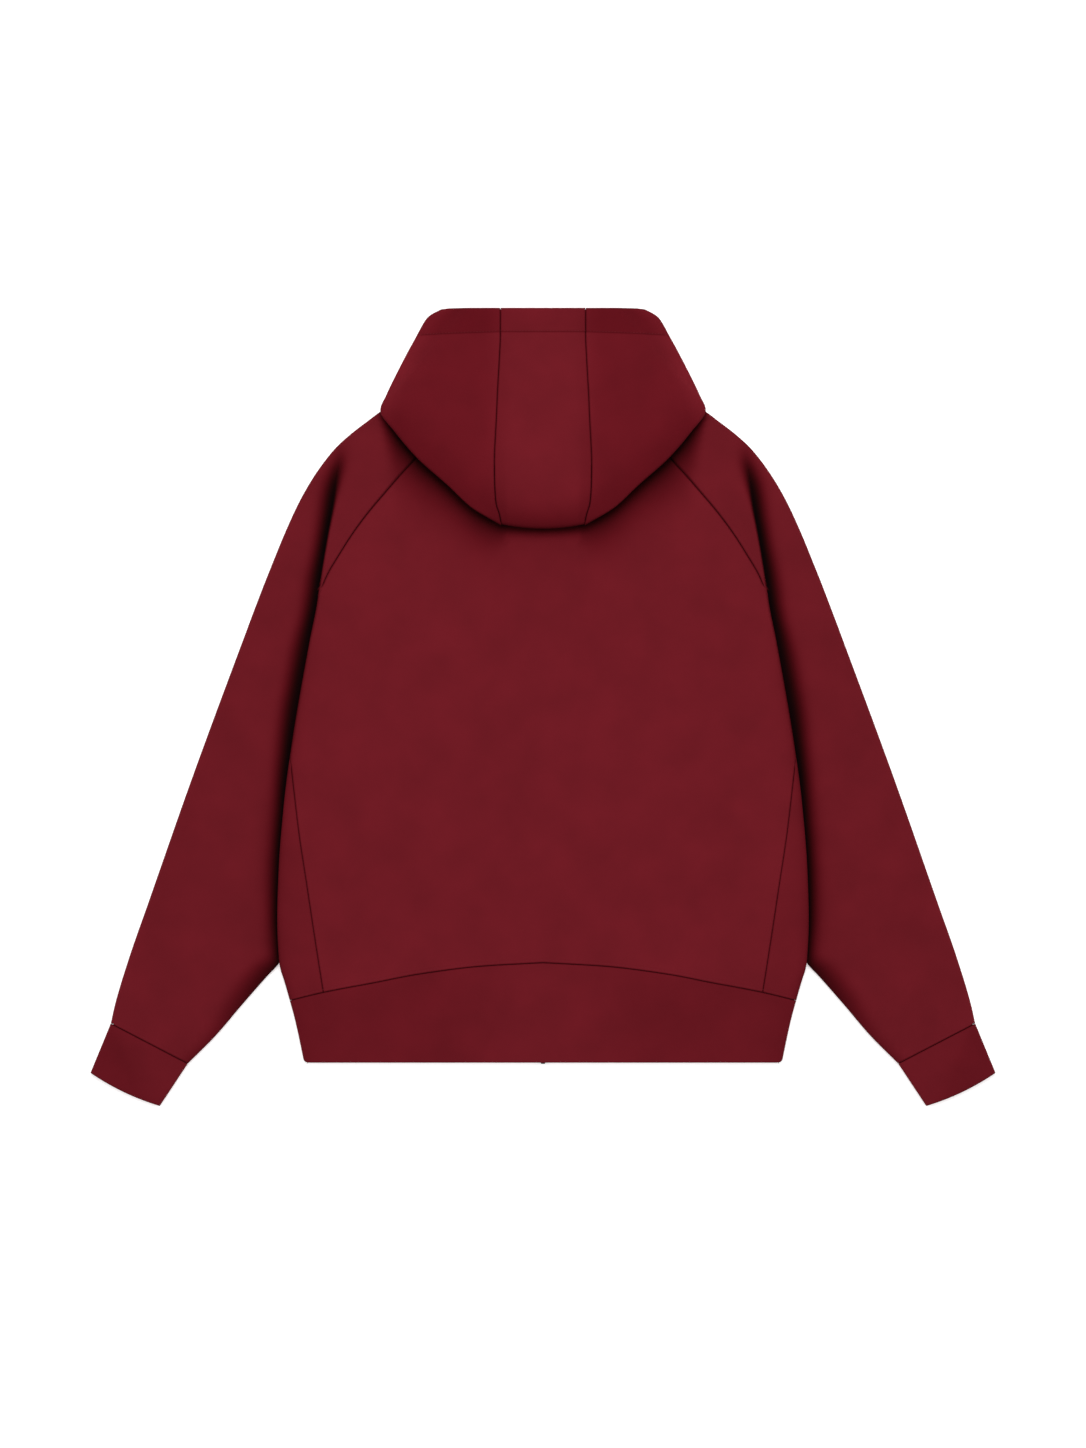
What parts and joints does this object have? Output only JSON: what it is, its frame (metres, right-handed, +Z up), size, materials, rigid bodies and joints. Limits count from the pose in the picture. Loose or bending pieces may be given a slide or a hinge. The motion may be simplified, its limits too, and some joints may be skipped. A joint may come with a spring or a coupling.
{
  "type": "zip-up hoodie",
  "caption": "Raglan-sleeved zip-up hoodie laid flat on its front, with its hood folded back over the shoulders and its arms beside the body.",
  "frame": {"origin": "middle of the laid garment's outline, on the surface it lies on", "axes": "+X across the garment, +Y towards the hood, +Z up out of the back"},
  "size_m": [1.0042, 0.8844, 0.028],
  "materials": {
    "scuba": "smooth matte double knit",
    "rib": "smooth matte double knit, folded",
    "tape": "woven tape",
    "metal": "dark satin"
  },
  "bodies": {
    "garment": {"back_panel": "scuba", "front_left": "scuba", "front_right": "scuba", "sleeve_left": "scuba", "sleeve_right": "scuba", "cuff_left": "rib", "cuff_right": "rib", "waistband": "rib", "hood_center": "scuba", "hood_left": "scuba", "hood_right": "scuba", "zip_tape_left": "tape", "zip_tape_right": "tape", "zip_teeth": "metal", "zip_box": "metal", "zip_slider": "metal"},
    "pull": {"zip_pull": "metal"}
  },
  "joints": [
    {"name": "pull_hinge", "type": "hinge", "parent": "garment", "child": "pull", "pos_m": [0, 0.262, 0.00345], "axis": [1, 0, 0], "range_deg": [0, 150]}
  ]
}
